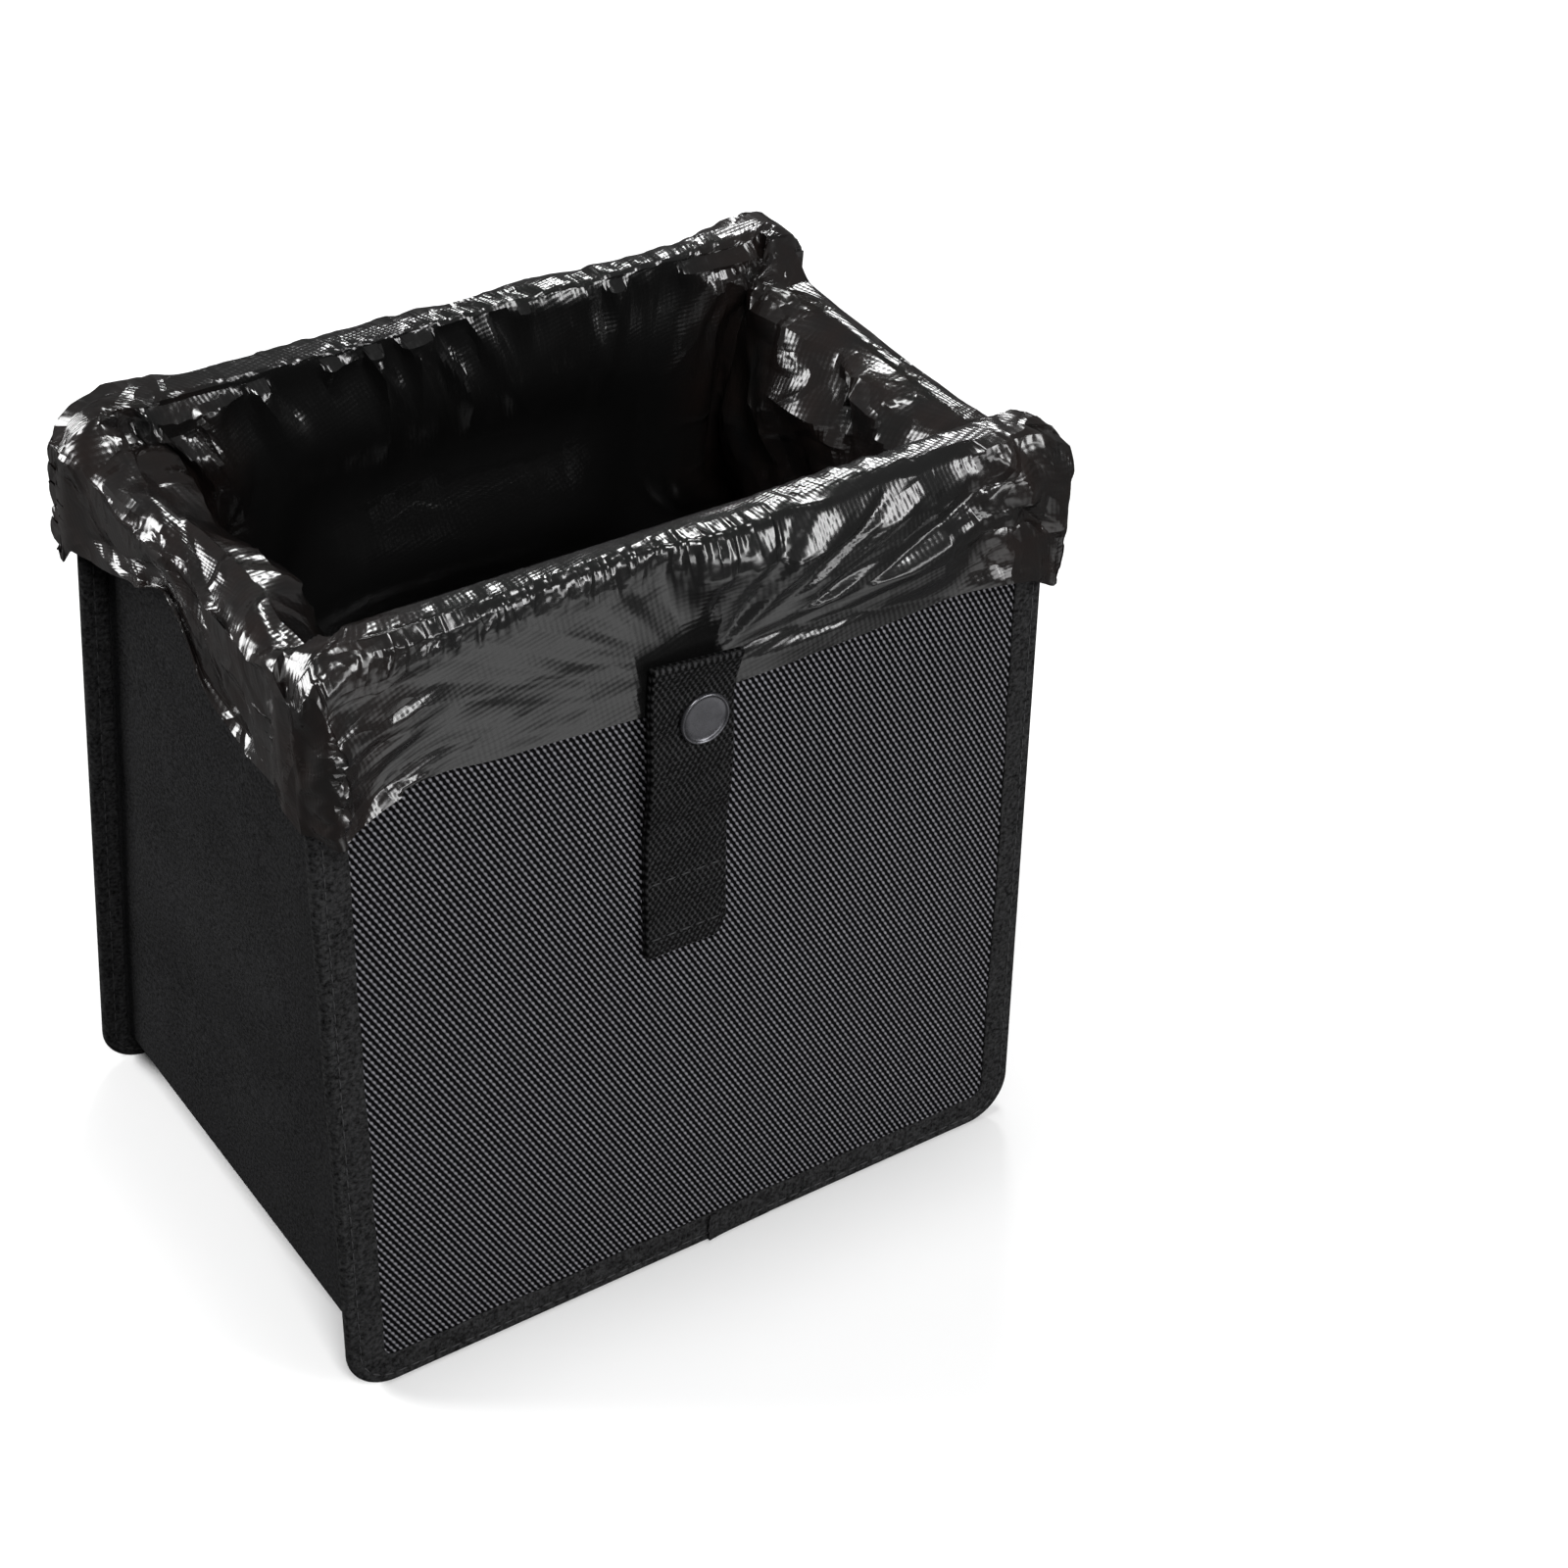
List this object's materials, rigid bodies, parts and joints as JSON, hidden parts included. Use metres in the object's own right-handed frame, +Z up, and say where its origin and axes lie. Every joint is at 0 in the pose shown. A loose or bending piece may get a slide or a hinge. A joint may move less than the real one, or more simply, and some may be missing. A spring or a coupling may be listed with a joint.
{
  "type": "car trash bin",
  "caption": "Black foldable car trash bin with taped woven panels, a soft gusset, a snap tab on the front and a shiny liner bag folded over the rim.",
  "frame": {"origin": "middle of the overall box, at the floor under the two panels", "axes": "+Z up, -Y out of the front panel with the strap, +X to the right seen from the front"},
  "size_m": [0.2312, 0.1594, 0.2384],
  "materials": {
    "woven_facing": "coarse dotted weave, grey on black",
    "panel_board": "plain stiff sheet",
    "lining_cloth": "plain black lining",
    "binding_tape": "matte black grosgrain tape",
    "thread": "black sewing thread",
    "gusset_cloth": "grainy matte black cloth",
    "webbing": "ribbed black webbing",
    "snap_metal": "dark gunmetal lacquer",
    "liner_film": "thin shiny black film with a fine dot emboss"
  },
  "bodies": {
    "root": {"front_facing": "woven_facing", "front_board": "panel_board", "front_lining": "lining_cloth", "front_binding": "binding_tape", "front_stitches": "thread", "back_facing": "woven_facing", "back_board": "panel_board", "back_lining": "lining_cloth", "back_binding": "binding_tape", "back_stitches": "thread", "gusset": "gusset_cloth", "base_board": "panel_board", "left_rim_binding": "binding_tape", "right_rim_binding": "binding_tape", "strap": "webbing", "strap_stitches": "thread", "snap_cap": "snap_metal", "snap_socket": "snap_metal", "snap_stud": "snap_metal", "snap_post": "snap_metal", "liner_bag": "liner_film"}
  },
  "joints": []
}
